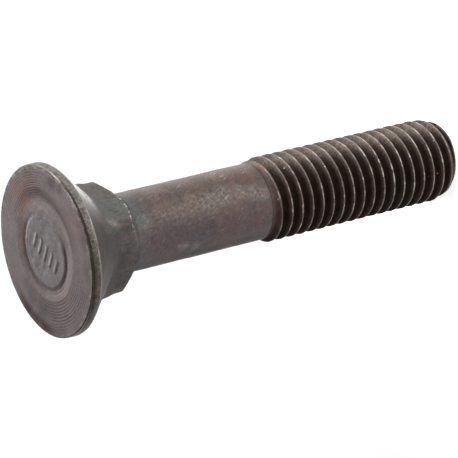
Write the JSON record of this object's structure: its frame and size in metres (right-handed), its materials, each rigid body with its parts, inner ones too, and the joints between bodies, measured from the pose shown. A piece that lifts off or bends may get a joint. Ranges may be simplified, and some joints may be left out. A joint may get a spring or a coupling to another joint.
{
  "type": "countersunk square neck bolt",
  "caption": "Steel bolt with a flat countersunk head, short square neck, plain reduced shank and coarse metric thread, for fastening wear parts flush.",
  "frame": {"origin": "centre of the flat head face, on the bolt's axis", "axes": "+Z out of the head face along the bolt's axis; the shank runs along -Z to the thread end, on which the bolt stands; X and Y are square to the flats of the neck"},
  "size_m": [0.0234, 0.0234, 0.065],
  "materials": {
    "dark_steel": "heat-darkened, lightly worn carbon steel with a grey-brown oxide film, brown-black in the thread's roots and brighter on worn edges"
  },
  "bodies": {
    "root": {"bolt": "dark_steel"}
  },
  "joints": []
}
